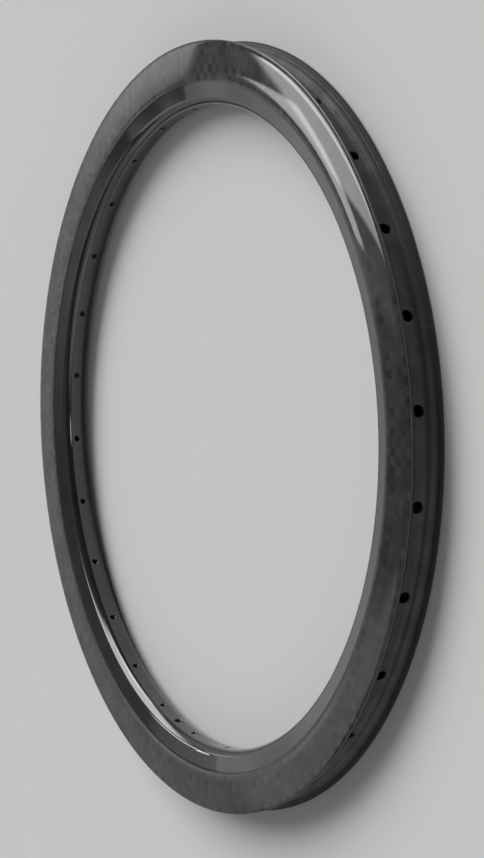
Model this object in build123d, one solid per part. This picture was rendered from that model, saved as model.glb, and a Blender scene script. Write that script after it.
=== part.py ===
"""Deep hollow bicycle rim, one moulded piece, lying on its side.

Millimetres. The wheel's axis is Z, the origin is the wheel's centre on the
rim's middle plane, and the valve hole is at minus Y.
"""

import math
import os

from build123d import *

# Tyre side of the section
bead_seat_diameter = 622.0
flange_height = 5.0
lip_thickness = 3.0
lip_outer_chamfer = 0.8
lip_inner_chamfer = 0.6
seat_width = 3.9
well_depth = 5.5
well_slope_width = 2.8

# Outside of the section
rim_width = 29.0
rim_depth = 51.5
straight_wall_height = 31.5
spoke_strip_width = 7.2
nose_corner_radius = 8.0

# Wall thicknesses of the hollow
side_wall = 0.8
bed_wall = 1.2
spoke_wall = 2.4
shoulder_width = 19.4
shoulder_rise = 2.6

# Drilled holes
spoke_count = 28
spoke_hole_diameter = 4.8
access_hole_diameter = 9.0
valve_hole_diameter = 6.5
valve_angle = -90.0
drill_margin = 1.5

# Sizes that follow from the ones above
seat_radius = bead_seat_diameter / 2
outer_radius = seat_radius + flange_height
floor_radius = seat_radius - well_depth
tip_radius = outer_radius - rim_depth
knuckle_radius = outer_radius - straight_wall_height
half_width = rim_width / 2
flange_face = half_width - lip_thickness
seat_edge = flange_face - seat_width
floor_edge = seat_edge - well_slope_width
strip_edge = spoke_strip_width / 2
hollow_half_width = half_width - side_wall
hollow_tip = tip_radius + spoke_wall
hollow_roof = seat_radius - bed_wall
hollow_floor = floor_radius - bed_wall
hollow_foot = floor_edge + bed_wall
spoke_pitch = 360.0 / spoke_count
first_spoke_angle = valve_angle + spoke_pitch / 2


def flank_point():
    """Find where the straight flank runs into the nose's rounded corner.

    Returns:
        The point's radius, its height over the middle plane, and the angle in
        degrees that the corner turns through up to there.
    """
    across = knuckle_radius - tip_radius - nose_corner_radius
    up = half_width - strip_edge
    aim = math.atan2(up, across)
    lean = math.asin(nose_corner_radius / math.hypot(across, up))
    turn = math.pi / 2 - aim + lean
    radius = tip_radius + nose_corner_radius * (1 - math.cos(turn))
    height = strip_edge + nose_corner_radius * math.sin(turn)
    return radius, height, math.degrees(turn)


def corners_at(sketch, radius, height):
    """Find the two mirrored corners of a section.

    Args:
        sketch: the sketch to look in.
        radius: distance of the corners from the wheel's axis.
        height: distance of the corners from the middle plane.

    Returns:
        The corners as a list.
    """
    return [
        corner
        for corner in sketch.vertices()
        if abs(corner.X - radius) < 1e-4 and abs(abs(corner.Y) - height) < 1e-4
    ]


flank_radius, flank_height, corner_turn = flank_point()

with BuildPart() as rim:
    # The outline of the section: rounded nose inwards, tyre bed outwards
    with BuildSketch(Plane.XZ) as outline:
        with BuildLine():
            Line((tip_radius, -strip_edge), (tip_radius, strip_edge))
            Line((floor_radius, -floor_edge), (floor_radius, floor_edge))
            for side in (1, -1):
                CenterArc(
                    (tip_radius + nose_corner_radius, side * strip_edge),
                    nose_corner_radius,
                    180,
                    -side * corner_turn,
                )
                Polyline(
                    (flank_radius, side * flank_height),
                    (knuckle_radius, side * half_width),
                    (outer_radius, side * half_width),
                    (outer_radius, side * flange_face),
                    (seat_radius, side * flange_face),
                    (seat_radius, side * seat_edge),
                    (floor_radius, side * floor_edge),
                )
        make_face()
        chamfer(corners_at(outline, outer_radius, half_width), lip_outer_chamfer)
        chamfer(corners_at(outline, outer_radius, flange_face), lip_inner_chamfer)
    revolve(axis=Axis.Z)

    # The hollow between the side walls, the tyre bed and the spoke wall
    with BuildSketch(Plane.XZ):
        with BuildLine():
            Line((hollow_tip, -strip_edge), (hollow_tip, strip_edge))
            Line((hollow_floor, -hollow_foot), (hollow_floor, hollow_foot))
            for side in (1, -1):
                Polyline(
                    (hollow_tip, side * strip_edge),
                    (hollow_tip + shoulder_rise, side * shoulder_width / 2),
                    (knuckle_radius, side * hollow_half_width),
                    (hollow_roof, side * hollow_half_width),
                    (hollow_roof, side * (seat_edge + bed_wall)),
                    (hollow_floor, side * hollow_foot),
                )
        make_face()
    revolve(axis=Axis.Z, mode=Mode.SUBTRACT)

    # Spoke holes through the nose, each in line with a wider one in the tyre bed
    with PolarLocations(tip_radius + spoke_wall / 2, spoke_count, first_spoke_angle):
        Cylinder(
            spoke_hole_diameter / 2,
            spoke_wall + 2 * drill_margin,
            rotation=(0, 90, 0),
            mode=Mode.SUBTRACT,
        )
    with PolarLocations(floor_radius - bed_wall / 2, spoke_count, first_spoke_angle):
        Cylinder(
            access_hole_diameter / 2,
            bed_wall + 2 * drill_margin,
            rotation=(0, 90, 0),
            mode=Mode.SUBTRACT,
        )

    # The valve hole goes through both walls between two spokes
    with PolarLocations((tip_radius + floor_radius) / 2, 1, valve_angle):
        Cylinder(
            valve_hole_diameter / 2,
            floor_radius - tip_radius + 2 * drill_margin,
            rotation=(0, 90, 0),
            mode=Mode.SUBTRACT,
        )

os.makedirs("parts", exist_ok=True)
export_step(rim.part, "parts/rim.step")
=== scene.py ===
"""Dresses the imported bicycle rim: a clear coated carbon ring lying on a pale floor.

Metres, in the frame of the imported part: the wheel's axis is Z and the valve
hole is at minus Y.
"""

from __future__ import annotations

import logging
import math
from dataclasses import dataclass, field
from enum import Enum

import bmesh
import bpy
from mathutils import Matrix, Vector

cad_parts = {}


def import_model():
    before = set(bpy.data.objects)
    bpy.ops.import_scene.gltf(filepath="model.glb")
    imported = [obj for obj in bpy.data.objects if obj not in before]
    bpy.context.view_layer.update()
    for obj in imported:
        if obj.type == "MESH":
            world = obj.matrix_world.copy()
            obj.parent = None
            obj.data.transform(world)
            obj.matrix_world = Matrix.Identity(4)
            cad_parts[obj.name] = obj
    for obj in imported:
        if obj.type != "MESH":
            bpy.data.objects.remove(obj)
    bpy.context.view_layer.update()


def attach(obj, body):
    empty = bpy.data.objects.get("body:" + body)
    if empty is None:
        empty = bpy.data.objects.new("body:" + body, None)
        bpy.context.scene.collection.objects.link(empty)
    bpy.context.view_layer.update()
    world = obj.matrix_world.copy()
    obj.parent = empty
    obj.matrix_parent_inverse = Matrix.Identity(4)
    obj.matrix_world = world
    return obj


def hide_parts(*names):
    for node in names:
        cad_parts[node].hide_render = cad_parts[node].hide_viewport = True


LOG = logging.getLogger("rim")
MM = 0.001
CLOTH_MAP = "weave"
COOL_TINT = (0.985, 1.0, 1.03)
NOISE_RANGE = (0.3, 0.7)
LEAST_AHEAD = 0.01


class Surface(Enum):
    """The rim's finishes, in the order of its material slots."""

    COAT = 0
    NOSE = 1
    BED = 2
    LIP = 3
    CUT = 4


@dataclass(frozen=True)
class Corner:
    """A corner of a section: its radius, its height over the middle plane and its rounding.

    Reach is how far the rounding starts from the corner, and steps how many
    edges it has.
    """

    radius: float
    height: float
    reach: float = 0.0
    steps: int = 1

    def place(self) -> Vector:
        """Give the corner's place in the XZ plane, in metres."""
        return Vector((self.radius * MM, 0.0, self.height * MM))


class Bench:
    """Object and edit mode steps that several pieces share.

    Near is how far from a place its points may lie, and weld how far apart
    points are merged.
    """

    NEAR = 0.02 * MM
    WELD = 0.002 * MM

    @staticmethod
    def clear_selection() -> None:
        """Go to object mode with nothing selected."""
        if bpy.context.mode != "OBJECT":
            bpy.ops.object.mode_set(mode="OBJECT")
        bpy.ops.object.select_all(action="DESELECT")

    @staticmethod
    def take(piece: bpy.types.Object) -> None:
        """Make one object the active and only selected one.

        Args:
            piece: the object.
        """
        Bench.clear_selection()
        piece.select_set(True)
        bpy.context.view_layer.objects.active = piece

    @staticmethod
    def select_at(piece: bpy.types.Object, place: Vector) -> None:
        """Select the vertices of an edited mesh that lie at a place.

        Args:
            piece: the object in edit mode.
            place: where to look.
        """
        bpy.ops.mesh.select_mode(type="VERT")
        bpy.ops.mesh.select_all(action="DESELECT")
        mesh = bmesh.from_edit_mesh(piece.data)
        for vertex in mesh.verts:
            vertex.select = (vertex.co - place).length < Bench.NEAR
        mesh.select_flush(True)
        bmesh.update_edit_mesh(piece.data)

    @staticmethod
    def apply(piece: bpy.types.Object, kind: str, **settings: object) -> None:
        """Add a modifier to a piece and apply it.

        Args:
            piece: the object to change.
            kind: the modifier's type.
            settings: the modifier's own settings.
        """
        Bench.take(piece)
        modifier = piece.modifiers.new(kind.lower(), kind)
        for name, value in settings.items():
            setattr(modifier, name, value)
        bpy.ops.object.modifier_apply(modifier=modifier.name)

    @staticmethod
    def ring(name: str, corners: list[Corner], steps: int) -> bpy.types.Object:
        """Turn the upper half of a section round the axis and mirror it.

        Args:
            name: the new object's name.
            corners: the half section from the middle plane to the middle plane.
            steps: how many faces go round the ring.

        Returns:
            The closed ring, with its faces pointing outwards.
        """
        Bench.clear_selection()
        bpy.ops.mesh.primitive_plane_add(size=MM, location=corners[0].place())
        piece = bpy.context.active_object
        piece.name = name
        bpy.ops.object.transform_apply(location=True, rotation=True, scale=True)
        bpy.ops.object.mode_set(mode="EDIT")
        bpy.ops.mesh.select_all(action="SELECT")
        bpy.ops.mesh.merge(type="CENTER")
        for here, there in zip(corners, corners[1:]):
            step = there.place() - here.place()
            bpy.ops.mesh.extrude_region_move(
                TRANSFORM_OT_translate={"value": tuple(step)}
            )
        for corner in corners:
            if corner.reach > 0.0:
                Bench.select_at(piece, corner.place())
                bpy.ops.mesh.bevel(
                    affect="VERTICES",
                    offset=corner.reach * MM,
                    segments=corner.steps,
                    profile=0.5,
                    clamp_overlap=False,
                )
        bpy.ops.mesh.select_all(action="SELECT")
        bpy.ops.mesh.spin(
            steps=steps,
            angle=math.tau,
            center=(0.0, 0.0, 0.0),
            axis=(0.0, 0.0, 1.0),
        )
        bpy.ops.mesh.select_all(action="SELECT")
        bpy.ops.mesh.remove_doubles(threshold=Bench.WELD)
        bpy.ops.object.mode_set(mode="OBJECT")
        Bench.apply(
            piece,
            "MIRROR",
            use_axis=(False, False, True),
            use_mirror_merge=True,
            merge_threshold=Bench.WELD,
        )
        bpy.ops.object.mode_set(mode="EDIT")
        bpy.ops.mesh.select_all(action="SELECT")
        bpy.ops.mesh.normals_make_consistent(inside=False)
        bpy.ops.object.mode_set(mode="OBJECT")
        return piece


class NodeBoard:
    """Places and joins the nodes of one shader tree."""

    def __init__(self, tree: bpy.types.NodeTree) -> None:
        """Start on a tree with its old nodes cleared away."""
        self.tree = tree
        tree.nodes.clear()

    def add(self, kind: str, **settings: object) -> bpy.types.Node:
        """Place a node.

        Args:
            kind: the node's type without the common prefix.
            settings: attributes of the node to set.

        Returns:
            The new node.
        """
        node = self.tree.nodes.new("ShaderNode" + kind)
        for name, value in settings.items():
            setattr(node, name, value)
        return node

    def feed(self, socket: bpy.types.NodeSocket, value: object) -> None:
        """Link a socket if the value is an output, and set it otherwise.

        Args:
            socket: the socket to fill.
            value: an output, a number, a colour or a vector.
        """
        if isinstance(value, bpy.types.NodeSocket):
            self.tree.links.new(value, socket)
        else:
            socket.default_value = value

    def math(self, operation: str, *values: object) -> bpy.types.NodeSocket:
        """Work out one number.

        Args:
            operation: what the Math node does.
            values: its inputs, as numbers or outputs.

        Returns:
            The node's output.
        """
        node = self.add("Math", operation=operation)
        for socket, value in zip(node.inputs, values):
            self.feed(socket, value)
        return node.outputs[0]

    def ramp(
        self, value: object, low: float, high: float, start: float, end: float
    ) -> bpy.types.NodeSocket:
        """Map a range of numbers smoothly to another.

        Args:
            value: the number to map.
            low: the number that gives start.
            high: the number that gives end.
            start: what low becomes.
            end: what high becomes.

        Returns:
            The mapped number.
        """
        node = self.add("MapRange", interpolation_type="SMOOTHSTEP")
        for name, number in (
            ("Value", value),
            ("From Min", low),
            ("From Max", high),
            ("To Min", start),
            ("To Max", end),
        ):
            self.feed(node.inputs[name], number)
        return node.outputs["Result"]

    def noise(self, vector: object, scale: float, detail: float) -> bpy.types.NodeSocket:
        """Give noise from 0 to 1.

        Args:
            vector: where it is looked up.
            scale: how fine it is.
            detail: how many finer layers it has.

        Returns:
            The noise.
        """
        node = self.add("TexNoise")
        self.feed(node.inputs["Vector"], vector)
        node.inputs["Scale"].default_value = scale
        node.inputs["Detail"].default_value = detail
        return node.outputs["Fac"]

    def blend(self, factor: object, dark: object, light: object) -> bpy.types.NodeSocket:
        """Mix two colours.

        Args:
            factor: 0 for the dark colour, 1 for the light one.
            dark: the dark colour.
            light: the light colour.

        Returns:
            The mixed colour.
        """
        node = self.add("Mix", data_type="RGBA")
        self.feed(node.inputs["Factor"], factor)
        self.feed(node.inputs["A"], dark)
        self.feed(node.inputs["B"], light)
        colours = [out for out in node.outputs if out.type == "RGBA"]
        return colours[0]

    def bump(self, height: object, strength: float, depth: float) -> bpy.types.NodeSocket:
        """Turn a height into a normal.

        Args:
            height: the height, from 0 to 1.
            strength: how much of it shows.
            depth: how far 1 stands out, in metres.

        Returns:
            The normal.
        """
        node = self.add("Bump")
        node.inputs["Strength"].default_value = strength
        node.inputs["Distance"].default_value = depth
        self.feed(node.inputs["Height"], height)
        return node.outputs["Normal"]

    def either(self, choice: object, one: object, other: object) -> bpy.types.NodeSocket:
        """Choose one of two numbers.

        Args:
            choice: 1 for the one, 0 for the other.
            one: the first number.
            other: the second number.

        Returns:
            The chosen number.
        """
        node = self.add("Mix", data_type="FLOAT")
        self.feed(node.inputs["Factor"], choice)
        self.feed(node.inputs["A"], other)
        self.feed(node.inputs["B"], one)
        return node.outputs["Result"]

    def mottle(self, fine: object, coarse: object, share: float) -> bpy.types.NodeSocket:
        """Add two noises and stretch the sum.

        Args:
            fine: the finer noise.
            coarse: the coarser one.
            share: how much of the sum the finer one has.

        Returns:
            The sum, from 0 to 1.
        """
        rest = self.math("MULTIPLY", coarse, 1.0 - share)
        both = self.math("MULTIPLY_ADD", fine, share, rest)
        return self.ramp(both, *NOISE_RANGE, 0.0, 1.0)


class FinishBoard(NodeBoard):
    """The nodes of a new material around its one shader."""

    def __init__(self, name: str) -> None:
        """Start a material with its shader joined to the output.

        Args:
            name: the material's name.
        """
        self.made = bpy.data.materials.new(name)
        self.made.use_nodes = True
        super().__init__(self.made.node_tree)
        self.shader = self.add("BsdfPrincipled")
        self.place = self.add("TexCoord").outputs["Object"]
        out = self.add("OutputMaterial")
        self.feed(out.inputs["Surface"], self.shader.outputs[0])

    def cloth(self) -> bpy.types.NodeSocket:
        """Give the place on the woven cloth, counted in tows."""
        return self.add("UVMap", uv_map=CLOTH_MAP).outputs["UV"]

    def finish(self, sockets: dict[str, object]) -> bpy.types.Material:
        """Set or link the shader's sockets.

        Args:
            sockets: a number, a colour or an output for each socket's name.

        Returns:
            The material.
        """
        for name, value in sockets.items():
            self.feed(self.shader.inputs[name], value)
        return self.made


def grey(level: float) -> tuple[float, float, float, float]:
    """Give a slightly cool grey of a linear level."""
    red, green, blue = (level * part for part in COOL_TINT)
    return (red, green, blue, 1.0)


@dataclass(frozen=True)
class PlainWeave:
    """The wide plain weave of the outer cloth, as a node group.

    The spreads say how much the tone varies from tow to tow, from cell to
    cell, from fibre to fibre and over the patches. The steps and the shift
    keep the fibres of neighbouring tows apart. The warp and weft tows of the
    one cloth differ in tone by a painted sheen: the fibres' glint, which
    changes with how the light falls, is painted into the colour, lighter on
    the weft tows and darker on the warp tows.
    """

    name: str = "plain_weave"
    # tones of the warp and weft tows; their difference is a painted sheen of the fibres
    warp_sheen_tone: float = 0.4
    weft_sheen_tone: float = 0.6
    edge_softness: float = 0.42
    tow_spread: float = 0.45
    cell_spread: float = 0.55
    fibre_spread: float = 0.25
    patch_spread: float = 1.3
    patch_scale: float = 55.0
    noise_detail: float = 2.0
    crown_wave: float = 0.8
    crown_edge: float = 0.25
    fibres_across: float = 26.0
    fibres_along: float = 1.1
    fibre_relief: float = 0.12
    tow_step: float = 7.3
    column_step: float = 3.1
    column_shift: float = 500.5

    def group(self) -> bpy.types.NodeTree:
        """Build the group: where on the cloth in, tone and relief out.

        Returns:
            The node group.
        """
        tree = bpy.data.node_groups.new(self.name, "ShaderNodeTree")
        board = NodeBoard(tree)
        tree.interface.new_socket("Cloth", in_out="INPUT", socket_type="NodeSocketVector")
        tree.interface.new_socket("Place", in_out="INPUT", socket_type="NodeSocketVector")
        tree.interface.new_socket("Tone", in_out="OUTPUT", socket_type="NodeSocketFloat")
        tree.interface.new_socket("Relief", in_out="OUTPUT", socket_type="NodeSocketFloat")
        start = tree.nodes.new("NodeGroupInput")
        end = tree.nodes.new("NodeGroupOutput")
        split = board.add("SeparateXYZ")
        board.feed(split.inputs[0], start.outputs["Cloth"])
        across, up = split.outputs[0], split.outputs[1]
        column = board.math("FLOOR", across)
        row = board.math("FLOOR", up)
        in_column = board.math("FRACT", across)
        in_row = board.math("FRACT", up)
        odd = board.math("FLOORED_MODULO", board.math("ADD", column, row), 2.0)
        side = board.either(odd, in_row, in_column)
        along = board.either(odd, in_column, in_row)
        tow = board.either(odd, row, board.math("ADD", column, self.column_shift))
        wave = board.math("MULTIPLY", self.swell(board, across), self.swell(board, up))
        soft = self.edge_softness
        warp = board.ramp(wave, -soft, soft, 1.0, 0.0)
        crest = board.math("ABSOLUTE", wave)
        body = board.ramp(crest, 0.0, self.crown_wave, self.crown_edge, 1.0)
        shift = board.math("MULTIPLY", column, self.column_step)
        fibre_place = board.add("CombineXYZ")
        for socket, value in zip(
            fibre_place.inputs,
            (
                board.math("MULTIPLY", side, self.fibres_across),
                board.math("MULTIPLY", along, self.fibres_along),
                board.math("MULTIPLY_ADD", tow, self.tow_step, shift),
            ),
        ):
            board.feed(socket, value)
        fibre = board.noise(fibre_place.outputs[0], 1.0, self.noise_detail)
        tow_luck = board.add("TexWhiteNoise", noise_dimensions="1D")
        board.feed(tow_luck.inputs["W"], tow)
        cell_luck = board.add("TexWhiteNoise", noise_dimensions="2D")
        cell = board.add("CombineXYZ")
        board.feed(cell.inputs[0], column)
        board.feed(cell.inputs[1], row)
        board.feed(cell_luck.inputs["Vector"], cell.outputs[0])
        patch = board.noise(start.outputs["Place"], self.patch_scale, self.noise_detail)
        # painted sheen: the warp tows get a darker tone than the weft tows, as if light
        # glinted on the weft
        gain = self.warp_sheen_tone - self.weft_sheen_tone
        tone = board.math("MULTIPLY_ADD", warp, gain, self.weft_sheen_tone)
        for luck, spread in (
            (tow_luck.outputs["Value"], self.tow_spread),
            (cell_luck.outputs["Value"], self.cell_spread),
            (fibre, self.fibre_spread),
        ):
            drift = board.math("MULTIPLY", board.math("SUBTRACT", luck, 0.5), spread)
            tone = board.math("MULTIPLY_ADD", drift, body, tone)
        drift = board.math("SUBTRACT", patch, 0.5)
        tone = board.math("MULTIPLY_ADD", drift, self.patch_spread, tone)
        relief = board.math("MULTIPLY_ADD", fibre, self.fibre_relief, body)
        board.feed(end.inputs["Tone"], tone)
        board.feed(end.inputs["Relief"], relief)
        return tree

    @staticmethod
    def swell(board: NodeBoard, count: object) -> bpy.types.NodeSocket:
        """Give a wave that changes its sign at each whole count."""
        return board.math("SINE", board.math("MULTIPLY", count, math.pi))


@dataclass(frozen=True)
class CoatedCarbon:
    """Woven carbon under a clear gloss coat, for the side walls."""

    name: str = "coated_carbon"
    dark: float = 0.004
    light: float = 0.033
    rough_dark: float = 0.52
    rough_light: float = 0.36
    index: float = 1.5
    shine: float = 0.15
    coat_roughness: float = 0.035
    coat_index: float = 1.42
    relief: float = 0.2
    relief_depth: float = 0.15 * MM

    def material(self, weave: bpy.types.NodeTree) -> bpy.types.Material:
        """Build the material.

        Args:
            weave: the group that draws the cloth.

        Returns:
            The material.
        """
        board = FinishBoard(self.name)
        group = board.add("Group", node_tree=weave)
        board.feed(group.inputs["Cloth"], board.cloth())
        board.feed(group.inputs["Place"], board.place)
        tone, height = group.outputs["Tone"], group.outputs["Relief"]
        return board.finish(
            {
                # the weave's tone carries the painted sheen of the warp and weft tows
                "Base Color": board.blend(tone, grey(self.dark), grey(self.light)),
                "Roughness": board.ramp(tone, 0.0, 1.0, self.rough_dark, self.rough_light),
                "IOR": self.index,
                "Specular IOR Level": self.shine,
                "Coat Weight": 1.0,
                "Coat Roughness": self.coat_roughness,
                "Coat IOR": self.coat_index,
                "Normal": board.bump(height, self.relief, self.relief_depth),
            }
        )


@dataclass(frozen=True)
class SmoothNose:
    """Carbon laid round the wheel under a thick gloss coat, for flanks, nose and edges."""

    name: str = "smooth_nose"
    dark: float = 0.003
    light: float = 0.014
    rough_dark: float = 0.5
    rough_light: float = 0.4
    index: float = 1.5
    shine: float = 0.15
    coat_roughness: float = 0.03
    coat_index: float = 1.78
    strands: tuple[float, float, float] = (0.12, 9.0, 1.0)
    strand_detail: float = 3.0
    strand_share: float = 0.15
    cloud_scale: float = 26.0
    cloud_detail: float = 2.0
    relief: float = 0.04
    relief_depth: float = 0.05 * MM

    def material(self) -> bpy.types.Material:
        """Build the material.

        Returns:
            The material.
        """
        board = FinishBoard(self.name)
        strand = board.add("VectorMath", operation="MULTIPLY")
        board.feed(strand.inputs[0], board.cloth())
        board.feed(strand.inputs[1], self.strands)
        fibre = board.noise(strand.outputs[0], 1.0, self.strand_detail)
        cloud = board.noise(board.place, self.cloud_scale, self.cloud_detail)
        tone = board.mottle(fibre, cloud, self.strand_share)
        return board.finish(
            {
                "Base Color": board.blend(tone, grey(self.dark), grey(self.light)),
                "Roughness": board.ramp(tone, 0.0, 1.0, self.rough_dark, self.rough_light),
                "IOR": self.index,
                "Specular IOR Level": self.shine,
                "Coat Weight": 1.0,
                "Coat Roughness": self.coat_roughness,
                "Coat IOR": self.coat_index,
                "Normal": board.bump(fibre, self.relief, self.relief_depth),
            }
        )


@dataclass(frozen=True)
class BareBed:
    """The satin moulded skin of the tyre bed."""

    name: str = "bare_bed"
    dark: float = 0.05
    light: float = 0.08
    rough_dark: float = 0.62
    rough_light: float = 0.5
    index: float = 1.5
    cloud_scale: float = 55.0
    cloud_detail: float = 3.0
    grain_scale: float = 1900.0
    grain_detail: float = 2.0
    grain_share: float = 0.3
    relief: float = 0.2
    relief_depth: float = 0.05 * MM

    def material(self) -> bpy.types.Material:
        """Build the material.

        Returns:
            The material.
        """
        board = FinishBoard(self.name)
        cloud = board.noise(board.place, self.cloud_scale, self.cloud_detail)
        grain = board.noise(board.place, self.grain_scale, self.grain_detail)
        tone = board.mottle(grain, cloud, self.grain_share)
        return board.finish(
            {
                "Base Color": board.blend(tone, grey(self.dark), grey(self.light)),
                "Roughness": board.ramp(tone, 0.0, 1.0, self.rough_dark, self.rough_light),
                "IOR": self.index,
                "Normal": board.bump(grain, self.relief, self.relief_depth),
            }
        )


@dataclass(frozen=True)
class CutLaminate:
    """Dull cut layers, in the drilled holes, the hollow and on top of the lips."""

    name: str = "cut_laminate"
    dark: float = 0.06
    light: float = 0.12
    shine: float = 0.5
    layer: float = 0.25 * MM
    layer_share: float = 0.2
    dust_scale: float = 900.0
    dust_detail: float = 2.0
    rough_clean: float = 0.75
    rough_dusty: float = 0.95

    def material(self) -> bpy.types.Material:
        """Build the material.

        Returns:
            The material.
        """
        board = FinishBoard(self.name)
        flat = board.add("VectorMath", operation="MULTIPLY")
        board.feed(flat.inputs[0], board.place)
        board.feed(flat.inputs[1], (1.0, 1.0, 0.0))
        radius = board.add("VectorMath", operation="LENGTH")
        board.feed(radius.inputs[0], flat.outputs[0])
        turn = board.math("MULTIPLY", radius.outputs["Value"], math.tau / self.layer)
        dust = board.noise(board.place, self.dust_scale, self.dust_detail)
        tone = board.math("MULTIPLY_ADD", board.math("SINE", turn), self.layer_share, dust)
        rough = board.ramp(dust, *NOISE_RANGE, self.rough_clean, self.rough_dusty)
        return board.finish(
            {
                "Base Color": board.blend(tone, grey(self.dark), grey(self.light)),
                "Roughness": rough,
                "Specular IOR Level": self.shine,
            }
        )


@dataclass(frozen=True)
class Drill:
    """A round hole along a radius: its size, its ends and how far its mouths flare.

    A flared end lies one flare under the surface that its mouth opens in. The
    cone goes on past the surface, and is cone times the flare long.
    """

    name: str
    radius: float
    start: float
    end: float
    flare: float = 0.35
    flare_start: bool = False
    flare_end: bool = False
    cone: float = 3.0
    sides: int = 40

    def build(self) -> bpy.types.Object:
        """Model the drill at minus Y.

        Returns:
            The drill, a closed mesh.
        """
        Bench.clear_selection()
        middle = (self.start + self.end) / 2 * MM
        bpy.ops.mesh.primitive_cylinder_add(
            vertices=self.sides,
            radius=self.radius * MM,
            depth=(self.end - self.start) * MM,
            location=(0.0, -middle, 0.0),
            rotation=(math.pi / 2, 0.0, 0.0),
        )
        piece = bpy.context.active_object
        piece.name = self.name
        bpy.ops.object.transform_apply(location=True, rotation=True, scale=True)
        for wanted, at, out in (
            (self.flare_start, self.start, 1.0),
            (self.flare_end, self.end, -1.0),
        ):
            if wanted:
                self.open_mouth(piece, at, out)
        return piece

    def open_mouth(self, piece: bpy.types.Object, at: float, out: float) -> None:
        """Widen one end of the drill into a cone.

        Args:
            piece: the drill.
            at: the radius of that end, in millimetres.
            out: 1 if the mouth opens towards the axis, minus 1 if away from it.
        """
        rise = self.cone * self.flare
        bpy.ops.object.mode_set(mode="EDIT")
        bpy.ops.mesh.select_mode(type="FACE")
        bpy.ops.mesh.select_all(action="DESELECT")
        mesh = bmesh.from_edit_mesh(piece.data)
        for face in mesh.faces:
            face.select = abs(face.calc_center_median().y + at * MM) < Bench.NEAR
        bmesh.update_edit_mesh(piece.data)
        bpy.ops.mesh.extrude_region_move(
            TRANSFORM_OT_translate={"value": (0.0, out * rise * MM, 0.0)}
        )
        grow = (self.radius + rise) / self.radius
        centre = (0.0, (-at + out * rise) * MM, 0.0)
        bpy.ops.transform.resize(value=(grow, 1.0, grow), center_override=centre)
        bpy.ops.object.mode_set(mode="OBJECT")


@dataclass(frozen=True)
class Margins:
    """How far the finishes reach from the rim's own corners, in millimetres."""

    crease: float = 0.3
    wall_end: float = 0.1
    wall_drop: float = 1.2
    lip: float = 0.8
    bed: float = 0.15
    inwards: float = -1.0
    tip: float = 0.05
    corner_middle: float = 8.0
    corner_skin: float = 7.2
    corner_end: float = 6.6
    flank_skin: float = 0.7


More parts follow.
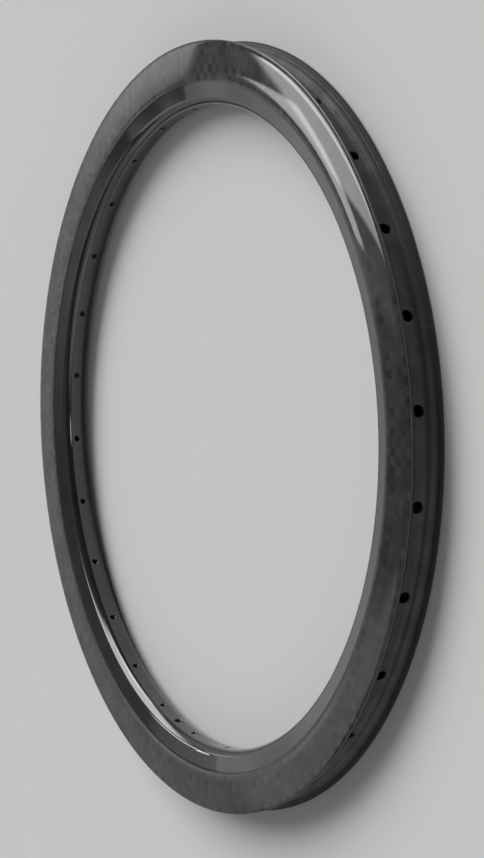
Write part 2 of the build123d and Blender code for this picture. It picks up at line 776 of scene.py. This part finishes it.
@dataclass
class Rim:
    """The hollow moulded ring with its drilled holes, in millimetres.

    Each round is a rounding's reach from its corner and its number of edges.
    """

    outer_radius: float = 316.0
    seat_radius: float = 311.0
    seat_slope: float = 0.2
    floor_radius: float = 305.5
    knuckle_radius: float = 283.0
    tip_radius: float = 264.5
    half_width: float = 14.5
    flange_face: float = 11.5
    seat_edge: float = 7.6
    floor_edge: float = 4.8
    nose_shoulder: float = 9.975
    nose_reach: float = 6.4
    nose_steps: int = 16
    flank_start: float = 271.6
    flank_end: float = 281.2
    wall_lean: float = 2.0
    crown_round: tuple[float, int] = (12.6, 14)
    crease_round: tuple[float, int] = (1.0, 4)
    lip_bevel: float = 1.8
    lip_drop: float = 0.32
    lip_line: float = 12.7
    lip_round: tuple[float, int] = (1.0, 4)
    edge_round: tuple[float, int] = (0.35, 3)
    flange_round: tuple[float, int] = (0.7, 4)
    seat_round: tuple[float, int] = (0.9, 4)
    bed_round: tuple[float, int] = (2.8, 6)
    side_wall: float = 0.8
    bed_wall: float = 1.2
    seat_wall: float = 1.5
    spoke_wall: float = 2.4
    hollow_shoulder: float = 7.6
    hollow_nose_round: tuple[float, int] = (4.0, 5)
    hollow_crease_round: tuple[float, int] = (1.0, 2)
    spoke_count: int = 28
    spoke_hole: float = 2.4
    access_hole: float = 4.5
    valve_hole: float = 3.25
    drill_overrun: float = 1.5
    steps: int = 448
    smooth_angle: float = 28.0
    tows_around: int = 272
    tow_width: float = 6.9
    margins: Margins = Margins()
    piece: bpy.types.Object | None = field(default=None, init=False)

    def outside(self) -> list[Corner]:
        """List the upper half of the outer section, from the nose to the tyre bed.

        The side wall is a little crowned, so its edges lie lower than its middle.

        Returns:
            The corners.
        """
        lean = math.radians(self.wall_lean)
        half_wall = (self.outer_radius - self.knuckle_radius) / 2
        rise = half_wall * math.tan(lean)
        edge = self.half_width - rise + self.crown_round[0] * math.tan(lean / 2)
        middle = self.knuckle_radius + half_wall
        shoulder = self.outer_radius - self.lip_bevel
        shoulder_height = edge + self.lip_bevel * math.tan(lean)
        seat_end = self.seat_radius - self.seat_slope
        return [
            Corner(self.tip_radius, 0.0),
            Corner(self.tip_radius, self.nose_shoulder, self.nose_reach, self.nose_steps),
            self.on_flank(self.flank_start, edge),
            self.on_flank(self.flank_end, edge),
            Corner(self.knuckle_radius, edge, *self.crease_round),
            Corner(middle, edge + rise, *self.crown_round),
            Corner(shoulder, shoulder_height, *self.lip_round),
            Corner(self.outer_radius, edge - self.lip_drop, *self.edge_round),
            Corner(self.outer_radius, self.lip_line),
            Corner(self.outer_radius, self.flange_face, *self.flange_round),
            Corner(self.seat_radius, self.flange_face, *self.seat_round),
            Corner(seat_end, self.seat_edge, *self.bed_round),
            Corner(self.floor_radius, self.floor_edge, *self.bed_round),
            Corner(self.floor_radius, 0.0),
        ]

    def on_flank(self, radius: float, edge: float) -> Corner:
        """Give a point of the straight flank, so that its shading stays flat.

        Args:
            radius: where on the flank.
            edge: the height of the crease at the flank's outer end.

        Returns:
            The point, with no rounding.
        """
        share = (radius - self.tip_radius) / (self.knuckle_radius - self.tip_radius)
        return Corner(radius, self.nose_shoulder + share * (edge - self.nose_shoulder))

    def inside(self) -> list[Corner]:
        """List the upper half of the hollow's section.

        Returns:
            The corners.
        """
        side = self.half_width - 2 * self.side_wall
        roof = self.seat_radius - self.seat_wall
        floor = self.floor_radius - self.bed_wall
        tip = self.tip_radius + self.spoke_wall
        return [
            Corner(tip, 0.0),
            Corner(tip, self.hollow_shoulder, *self.hollow_nose_round),
            Corner(self.knuckle_radius, side, *self.hollow_crease_round),
            Corner(roof, side),
            Corner(roof, self.seat_edge + self.bed_wall),
            Corner(floor, self.floor_edge + self.bed_wall),
            Corner(floor, 0.0),
        ]

    def drills(self) -> list[tuple[Drill, list[float]]]:
        """List the drills with the turns from the valve hole at which they go in.

        Returns:
            Each drill with its turns in degrees.
        """
        pitch = 360.0 / self.spoke_count
        turns = [(count + 0.5) * pitch for count in range(self.spoke_count)]
        nose_mouth = self.tip_radius + Drill.flare
        bed_mouth = self.floor_radius - Drill.flare
        spoke = Drill(
            "spoke_drill",
            self.spoke_hole,
            nose_mouth,
            self.tip_radius + self.spoke_wall + self.drill_overrun,
            flare_start=True,
        )
        access = Drill(
            "access_drill",
            self.access_hole,
            self.floor_radius - self.bed_wall - self.drill_overrun,
            bed_mouth,
            flare_end=True,
        )
        valve = Drill(
            "valve_drill",
            self.valve_hole,
            nose_mouth,
            bed_mouth,
            flare_start=True,
            flare_end=True,
        )
        return [(spoke, turns), (access, turns), (valve, [0.0])]

    def cutters(self) -> bpy.types.Object:
        """Copy every drill to its places and join them.

        Returns:
            One object that holds all the drills.
        """
        made = []
        for drill, turns in self.drills():
            first = drill.build()
            for turn in turns:
                Bench.take(first)
                bpy.ops.object.duplicate(linked=False)
                copy = bpy.context.active_object
                bpy.ops.transform.rotate(
                    value=math.radians(turn),
                    orient_axis="Z",
                    center_override=(0.0, 0.0, 0.0),
                )
                made.append(copy)
            bpy.data.objects.remove(first)
        Bench.take(made[0])
        for copy in made:
            copy.select_set(True)
        bpy.ops.object.join()
        bpy.ops.object.transform_apply(location=True, rotation=True, scale=True)
        return bpy.context.active_object

    def build(self) -> bpy.types.Object:
        """Model the ring, hollow it and drill it.

        Returns:
            The finished rim.
        """
        rim = Bench.ring("carbon_rim", self.outside(), self.steps)
        hollow = Bench.ring("hollow", self.inside(), self.steps)
        cutters = self.cutters()
        for cutter in (hollow, cutters):
            Bench.apply(
                rim,
                "BOOLEAN",
                operation="DIFFERENCE",
                solver="EXACT",
                object=cutter,
            )
            bpy.data.objects.remove(cutter)
        Bench.take(rim)
        bpy.ops.object.shade_smooth_by_angle(angle=math.radians(self.smooth_angle))
        self.piece = rim
        LOG.info("rim: %d faces", len(rim.data.polygons))
        return rim

    def run(self, radius: float, height: float) -> float:
        """Measure along the outside from the crease, outwards positive.

        Args:
            radius: distance from the axis, in millimetres.
            height: distance from the middle plane, in millimetres.

        Returns:
            The length along the section, in millimetres.
        """
        if radius >= self.knuckle_radius:
            return radius - self.knuckle_radius
        return -math.hypot(radius - self.knuckle_radius, abs(height) - self.half_width)

    def lay_cloth(self) -> None:
        """Give each face corner its place on the woven cloth, counted in tows."""
        mesh = self.piece.data
        layer = mesh.uv_layers.new(name=CLOTH_MAP)
        for face in mesh.polygons:
            middle = math.atan2(face.center.y, face.center.x)
            for loop in face.loop_indices:
                place = mesh.vertices[mesh.loops[loop].vertex_index].co
                turn = math.atan2(place.y, place.x) - middle
                turn = (turn + math.pi) % math.tau - math.pi
                radius = math.hypot(place.x, place.y) / MM
                layer.data[loop].uv = (
                    (middle + turn) / math.tau * self.tows_around,
                    self.run(radius, place.z / MM) / self.tow_width,
                )

    def surface_of(self, face: bpy.types.MeshPolygon) -> Surface:
        """Tell which finish a face has.

        Args:
            face: the face.

        Returns:
            Its finish.
        """
        radius = math.hypot(face.center.x, face.center.y) / MM
        height = abs(face.center.z) / MM
        out = (face.normal.x * face.center.x + face.normal.y * face.center.y) / MM
        margins = self.margins
        wall_start = self.knuckle_radius - margins.crease
        wall_end = self.outer_radius - margins.wall_end
        wall_low = self.half_width - margins.wall_drop
        if wall_start < radius < wall_end and height > wall_low:
            return Surface.COAT
        if radius > self.outer_radius - margins.lip:
            return Surface.NOSE if height > self.lip_line else Surface.LIP
        if radius > self.floor_radius - margins.bed and out > margins.inwards:
            return Surface.BED
        return Surface.NOSE if self.is_outside(radius, height) else Surface.CUT

    def is_outside(self, radius: float, height: float) -> bool:
        """Tell if a point of the nose lies on its outer skin.

        Args:
            radius: distance from the axis, in millimetres.
            height: distance from the middle plane, in millimetres.

        Returns:
            True on the outer skin, False in the holes and the hollow.
        """
        margins = self.margins
        depth = radius - self.tip_radius
        if radius < self.tip_radius + margins.tip:
            return True
        flank = self.nose_shoulder + depth * (
            (self.half_width - self.nose_shoulder) / (self.knuckle_radius - self.tip_radius)
        )
        away = math.hypot(
            depth - margins.corner_middle,
            height - (self.nose_shoulder - self.nose_reach),
        )
        on_corner = away > margins.corner_skin and depth < margins.corner_end
        on_flank = height > flank - margins.flank_skin and radius < self.knuckle_radius
        return on_flank or on_corner

    def dress(self, finishes: list[bpy.types.Material]) -> None:
        """Lay the cloth and give each face its finish.

        Args:
            finishes: the materials in the order of Surface.
        """
        self.lay_cloth()
        for finish in finishes:
            self.piece.data.materials.append(finish)
        for face in self.piece.data.polygons:
            face.material_index = self.surface_of(face).value
        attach(self.piece, "root")
        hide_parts("rim")


def towards(azimuth: float, elevation: float) -> Vector:
    """Give a direction as a vector.

    Args:
        azimuth: its turn from X towards Y, in degrees.
        elevation: its rise over the floor, in degrees.

    Returns:
        The unit vector.
    """
    turn, rise = math.radians(azimuth), math.radians(elevation)
    level = math.cos(rise)
    return Vector((math.cos(turn) * level, math.sin(turn) * level, math.sin(rise)))


@dataclass(frozen=True)
class Facing:
    """A direction from the rim, in degrees, with a flat plane far off across it.

    Turn leans the plane's level axis up towards a growing azimuth.
    """

    azimuth: float
    elevation: float
    turn: float = 0.0

    def flatten(
        self, board: NodeBoard, aim: bpy.types.NodeSocket
    ) -> tuple[bpy.types.NodeSocket, bpy.types.NodeSocket, bpy.types.NodeSocket]:
        """Find where a direction meets the plane.

        Args:
            board: the world's nodes.
            aim: the direction that is looked up.

        Returns:
            The share of the direction that points at the plane, and the place
            on it along its level and its upright axis, as tangents.
        """
        middle = towards(self.azimuth, self.elevation)
        level = towards(self.azimuth + 90.0, 0.0)
        upright = middle.cross(level)
        lean = math.radians(self.turn)
        level_axis = level * math.cos(lean) + upright * math.sin(lean)
        upright_axis = upright * math.cos(lean) - level * math.sin(lean)
        ahead = self.share(board, aim, middle)
        along = self.share(board, aim, level_axis)
        up = self.share(board, aim, upright_axis)
        return (
            ahead,
            board.math("DIVIDE", along, ahead),
            board.math("DIVIDE", up, ahead),
        )

    @staticmethod
    def share(
        board: NodeBoard, aim: bpy.types.NodeSocket, axis: Vector
    ) -> bpy.types.NodeSocket:
        """Give how much of a direction lies along an axis.

        Args:
            board: the world's nodes.
            aim: the direction that is looked up.
            axis: the axis, a unit vector.

        Returns:
            The share, from minus 1 to 1.
        """
        node = board.add("VectorMath", operation="DOT_PRODUCT")
        board.feed(node.inputs[0], aim)
        node.inputs[1].default_value = tuple(axis)
        return node.outputs["Value"]


@dataclass(frozen=True)
class Glow:
    """A soft bright spot on a pane: its direction, its reach both ways and its gain."""

    facing: Facing
    reach_along: float
    reach_up: float
    gain: float

    def light(self, board: NodeBoard, aim: bpy.types.NodeSocket) -> bpy.types.NodeSocket:
        """Work out the spot's light.

        Args:
            board: the world's nodes.
            aim: the direction that is looked up.

        Returns:
            The gain in the spot's middle, and less around it.
        """
        _, along, up = self.facing.flatten(board, aim)
        fall: object = 0.0
        for place, reach in ((along, self.reach_along), (up, self.reach_up)):
            share = board.math("DIVIDE", place, math.tan(math.radians(reach)))
            fall = board.math("ADD", fall, board.math("MULTIPLY", share, share))
        spot = board.math("EXPONENT", board.math("MULTIPLY", fall, -1.0))
        return board.math("MULTIPLY", spot, self.gain)


@dataclass(frozen=True)
class Pane:
    """A pale pane far off in the room, its sizes in degrees.

    Blur is the width of its soft upper and lower edges, and fade that of its
    sides.
    """

    name: str
    facing: Facing
    width: float
    height: float
    level: float
    blur: float = 0.5
    fade: float = 0.5
    glows: tuple[Glow, ...] = ()

    def light(self, board: NodeBoard, aim: bpy.types.NodeSocket) -> bpy.types.NodeSocket:
        """Work out the pane's light.

        Args:
            board: the world's nodes.
            aim: the direction that is looked up.

        Returns:
            The pane's level and its glows inside it, and 0 outside.
        """
        ahead, along, up = self.facing.flatten(board, aim)
        mask = board.math("GREATER_THAN", ahead, LEAST_AHEAD)
        for place, size, soft in (
            (along, self.width, self.fade),
            (up, self.height, self.blur),
        ):
            off = board.math("ABSOLUTE", place)
            inner = math.tan(math.radians(max(size - soft, 0.0) / 2))
            outer = math.tan(math.radians((size + soft) / 2))
            mask = board.math("MULTIPLY", mask, board.ramp(off, inner, outer, 1.0, 0.0))
        level: object = self.level
        for glow in self.glows:
            level = board.math("ADD", level, glow.light(board, aim))
        return board.math("MULTIPLY", mask, level)


@dataclass
class Stage:
    """Floor, light and camera."""

    floor_level: float = -14.5 * MM
    floor_side: float = 30.0
    floor_cells: int = 12
    floor_light: tuple[float, float, float, float] = (0.74, 0.74, 0.73, 1.0)
    floor_dark: tuple[float, float, float, float] = (0.7289, 0.7289, 0.71905, 1.0)
    floor_cloud: float = 2.0
    floor_detail: float = 2.0
    floor_roughness: float = 0.9
    floor_shine: float = 0.2
    dark_level: float = 0.06
    backdrop_level: float = 0.8
    sensor: float = 36.0
    lens: float = 89.24
    camera_azimuth: float = 18.25
    camera_elevation: float = 28.52
    camera_distance: float = 1.7619
    camera_aim: tuple[float, float, float] = (0.0494, 0.01405, 0.0)
    camera_roll: float = -92.47

    def panes(self) -> list[Pane]:
        """List the room's walls, windows and lamps.

        Returns:
            The panes.
        """
        by_window = Glow(Facing(184.5, 26.5), 4.5, 5.0, 1.5)
        band = Glow(Facing(197.0, 25.7), 14.0, 2.6, 0.3)
        low_spot = Glow(Facing(198.0, 15.0), 8.0, 6.5, 0.4)
        core = Glow(Facing(112.0, 18.0), 14.0, 14.0, 7.0)
        return [
            Pane(
                "back_wall",
                Facing(205.0, 17.55),
                100.0,
                23.1,
                0.42,
                blur=0.1,
                fade=14.0,
                glows=(by_window, band, low_spot),
            ),
            Pane("side_wall", Facing(214.3, 33.0), 16.5, 8.2, 0.8, blur=1.2, fade=2.0),
            Pane("upper_wall", Facing(219.0, 49.0), 22.0, 16.0, 0.5, blur=6.0, fade=8.0),
            Pane("wall_step", Facing(203.9, 30.4), 1.9, 3.2, 0.45, blur=2.2, fade=1.2),
            Pane("wall_corner", Facing(205.7, 28.9), 0.4, 0.4, 0.5, blur=2.4, fade=3.4),
            Pane("wall_top", Facing(194.6, 29.0), 2.2, 0.4, 0.4, blur=4.6, fade=1.6),
            Pane("by_frame", Facing(193.4, 33.1), 2.6, 6.6, 0.3, blur=2.8, fade=1.0),
            Pane("ceiling", Facing(18.0, 88.0), 36.0, 36.0, 0.18, blur=26.0, fade=26.0),
            Pane("far_side", Facing(300.0, 28.0), 100.0, 46.0, 0.5, blur=14.0, fade=20.0),
            Pane("front_side", Facing(328.0, 16.0), 60.0, 30.0, 0.5, blur=24.0, fade=34.0),
            Pane("front_lamp", Facing(17.0, 13.0), 8.0, 11.0, 4.5, blur=7.0, fade=5.0),
            Pane(
                "key",
                Facing(138.0, 39.0, turn=36.0),
                52.0,
                40.0,
                5.4,
                blur=11.0,
                fade=4.0,
                glows=(core,),
            ),
            Pane("upper_pane", Facing(187.85, 34.15), 6.0, 7.7, 4.3),
            Pane(
                "outer_bar",
                Facing(187.35, 33.75, turn=52.5),
                7.5,
                0.8,
                6.0,
                blur=0.4,
                fade=0.4,
            ),
            Pane(
                "inner_bar",
                Facing(190.88, 30.26, turn=8.0),
                4.3,
                1.9,
                5.0,
                blur=0.1,
                fade=0.3,
            ),
        ]

    def floor(self) -> bpy.types.Object:
        """Lay the plain pale floor.

        Returns:
            The floor.
        """
        Bench.clear_selection()
        bpy.ops.mesh.primitive_grid_add(
            x_subdivisions=self.floor_cells,
            y_subdivisions=self.floor_cells,
            size=self.floor_side,
            location=(0.0, 0.0, self.floor_level),
        )
        floor = bpy.context.active_object
        floor.name = "floor"
        bpy.ops.object.transform_apply(location=True, rotation=True, scale=True)
        board = FinishBoard("pale_floor")
        tone = board.noise(board.place, self.floor_cloud, self.floor_detail)
        paint = board.finish(
            {
                "Base Color": board.blend(tone, self.floor_dark, self.floor_light),
                "Roughness": self.floor_roughness,
                "Specular IOR Level": self.floor_shine,
            }
        )
        floor.data.materials.append(paint)
        return floor

    def sky(self) -> None:
        """Light the room: dark all round, with its pale and bright panes.

        The camera itself sees a plain pale backdrop in their place.
        """
        world = bpy.data.worlds.new("studio")
        bpy.context.scene.world = world
        world.use_nodes = True
        board = NodeBoard(world.node_tree)
        out = board.add("OutputWorld")
        light = board.add("Background")
        aim = board.add("TexCoord").outputs["Generated"]
        level: object = self.dark_level
        for pane in self.panes():
            level = board.math("ADD", level, pane.light(board, aim))
        seen = board.add("LightPath").outputs["Is Camera Ray"]
        level = board.either(seen, self.backdrop_level, level)
        board.feed(light.inputs["Strength"], level)
        board.feed(out.inputs["Surface"], light.outputs[0])

    def camera(self) -> bpy.types.Object:
        """Set up the camera at the photograph's viewing angle.

        Returns:
            The camera.
        """
        data = bpy.data.cameras.new("camera")
        data.lens = self.lens
        data.sensor_width = self.sensor
        camera = bpy.data.objects.new("camera", data)
        bpy.context.scene.collection.objects.link(camera)
        back = towards(self.camera_azimuth, self.camera_elevation)
        place = back * self.camera_distance
        look = Vector(self.camera_aim) - place
        upright = look.to_track_quat("-Z", "Y").to_matrix()
        rolled = upright @ Matrix.Rotation(math.radians(self.camera_roll), 3, "Z")
        camera.matrix_world = Matrix.Translation(place) @ rolled.to_4x4()
        bpy.context.scene.camera = camera
        return camera

    def build(self) -> None:
        """Set up floor, light and camera."""
        self.floor()
        self.sky()
        self.camera()
        bpy.context.scene.view_settings.view_transform = "Standard"


def main() -> None:
    """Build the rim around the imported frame, dress it and set the stage."""
    logging.basicConfig(level=logging.INFO)
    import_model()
    rim = Rim()
    rim.build()
    weave = PlainWeave().group()
    rim.dress(
        [
            CoatedCarbon().material(weave),
            SmoothNose().material(),
            BareBed().material(),
            CutLaminate("sanded_lip", dark=0.028, light=0.055, shine=0.3).material(),
            CutLaminate().material(),
        ]
    )
    LOG.info("rim: dressed")
    Stage().build()
    LOG.info("stage: floor, light and camera")


if __name__ == "__main__":
    main()
